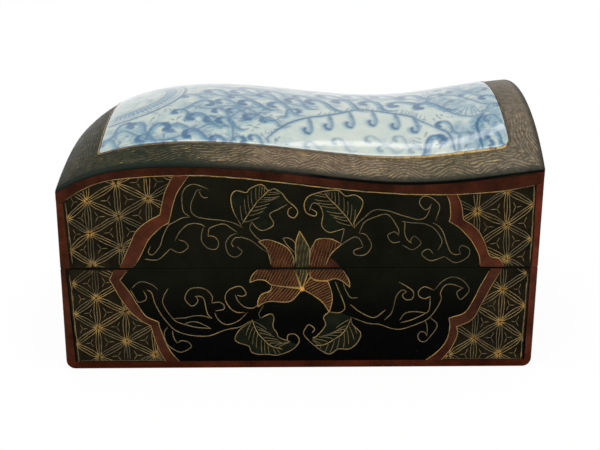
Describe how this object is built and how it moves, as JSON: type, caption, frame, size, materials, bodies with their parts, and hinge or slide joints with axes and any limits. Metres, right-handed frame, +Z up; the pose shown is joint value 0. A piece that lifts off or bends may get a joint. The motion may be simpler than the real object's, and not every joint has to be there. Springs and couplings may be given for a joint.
{
  "type": "lacquered writing box with inkstone tray",
  "caption": "Rectangular lacquered writing box with a lift-off lid, curved in an S-wave and arched front to back round an inlaid porcelain slab, and a lift-out tray of writing things.",
  "frame": {"origin": "centre of the base's underside, on the surface that the box stands on", "axes": "+X to the right along the box's length, +Y to the back, +Z up; the decorated front faces -Y"},
  "size_m": [0.26, 0.17, 0.1483],
  "materials": {
    "black_lacquer": "satin black lacquer with red-brown bands and gilt incised lines",
    "rail_lacquer": "glossy grey-green to brown lacquer with incised waves",
    "lining_lacquer": "satin red-brown lacquer",
    "tray_lacquer": "satin red-brown lacquer",
    "porcelain": "glossy glaze over blue brushwork",
    "dropper_glaze": "glossy glaze over blue brushwork",
    "bedding": "matt lacquer putty",
    "gilt": "worn gilt",
    "slate": "honed slate",
    "ink": "pressed ink, satin",
    "bamboo": "polished bamboo",
    "horn": "polished dark horn",
    "hair": "soft animal hair"
  },
  "bodies": {
    "base": {"base_front_board": "black_lacquer", "base_back_board": "black_lacquer", "base_left_board": "black_lacquer", "base_right_board": "black_lacquer", "base_bottom_board": "black_lacquer", "lining_front": "lining_lacquer", "lining_back": "lining_lacquer", "lining_left": "lining_lacquer", "lining_right": "lining_lacquer", "tray_bearer_left": "lining_lacquer", "tray_bearer_right": "lining_lacquer"},
    "lid": {"lid_front_board": "black_lacquer", "lid_back_board": "black_lacquer", "lid_left_board": "black_lacquer", "lid_right_board": "black_lacquer", "lid_core_board": "black_lacquer", "top_rail_front": "rail_lacquer", "top_rail_back": "rail_lacquer", "top_rail_left": "rail_lacquer", "top_rail_right": "rail_lacquer", "porcelain_slab": "porcelain", "porcelain_bed": "bedding", "slab_bead": "gilt"},
    "tray": {"tray_front_wall": "tray_lacquer", "tray_back_wall": "tray_lacquer", "tray_left_wall": "tray_lacquer", "tray_right_wall": "tray_lacquer", "tray_floor_board": "tray_lacquer", "tray_divider_long": "tray_lacquer", "tray_divider_left": "tray_lacquer", "tray_divider_right": "tray_lacquer"},
    "inkstone": {"inkstone": "slate"},
    "dropper": {"water_dropper": "dropper_glaze"},
    "ink_stick": {"ink_stick": "ink"},
    "brush_large": {"brush_large_handle": "bamboo", "brush_large_collar": "horn", "brush_large_tip": "hair"},
    "brush_small": {"brush_small_handle": "bamboo", "brush_small_collar": "horn", "brush_small_tip": "hair"}
  },
  "joints": [
    {"name": "lid_lift", "type": "slide", "parent": "base", "child": "lid", "axis": [0, 0, 1], "range_m": [0, 0.12]},
    {"name": "tray_lift", "type": "slide", "parent": "base", "child": "tray", "axis": [0, 0, 1], "range_m": [0, 0.031]},
    {"name": "inkstone_lift", "type": "slide", "parent": "tray", "child": "inkstone", "axis": [0, 0, 1], "range_m": [0, 0.022]},
    {"name": "dropper_lift", "type": "slide", "parent": "tray", "child": "dropper", "axis": [0, 0, 1], "range_m": [0, 0.022]},
    {"name": "ink_stick_lift", "type": "slide", "parent": "tray", "child": "ink_stick", "axis": [0, 0, 1], "range_m": [0, 0.022]},
    {"name": "brush_large_lift", "type": "slide", "parent": "tray", "child": "brush_large", "axis": [0, 0, 1], "range_m": [0, 0.022]},
    {"name": "brush_small_lift", "type": "slide", "parent": "tray", "child": "brush_small", "axis": [0, 0, 1], "range_m": [0, 0.022]}
  ]
}
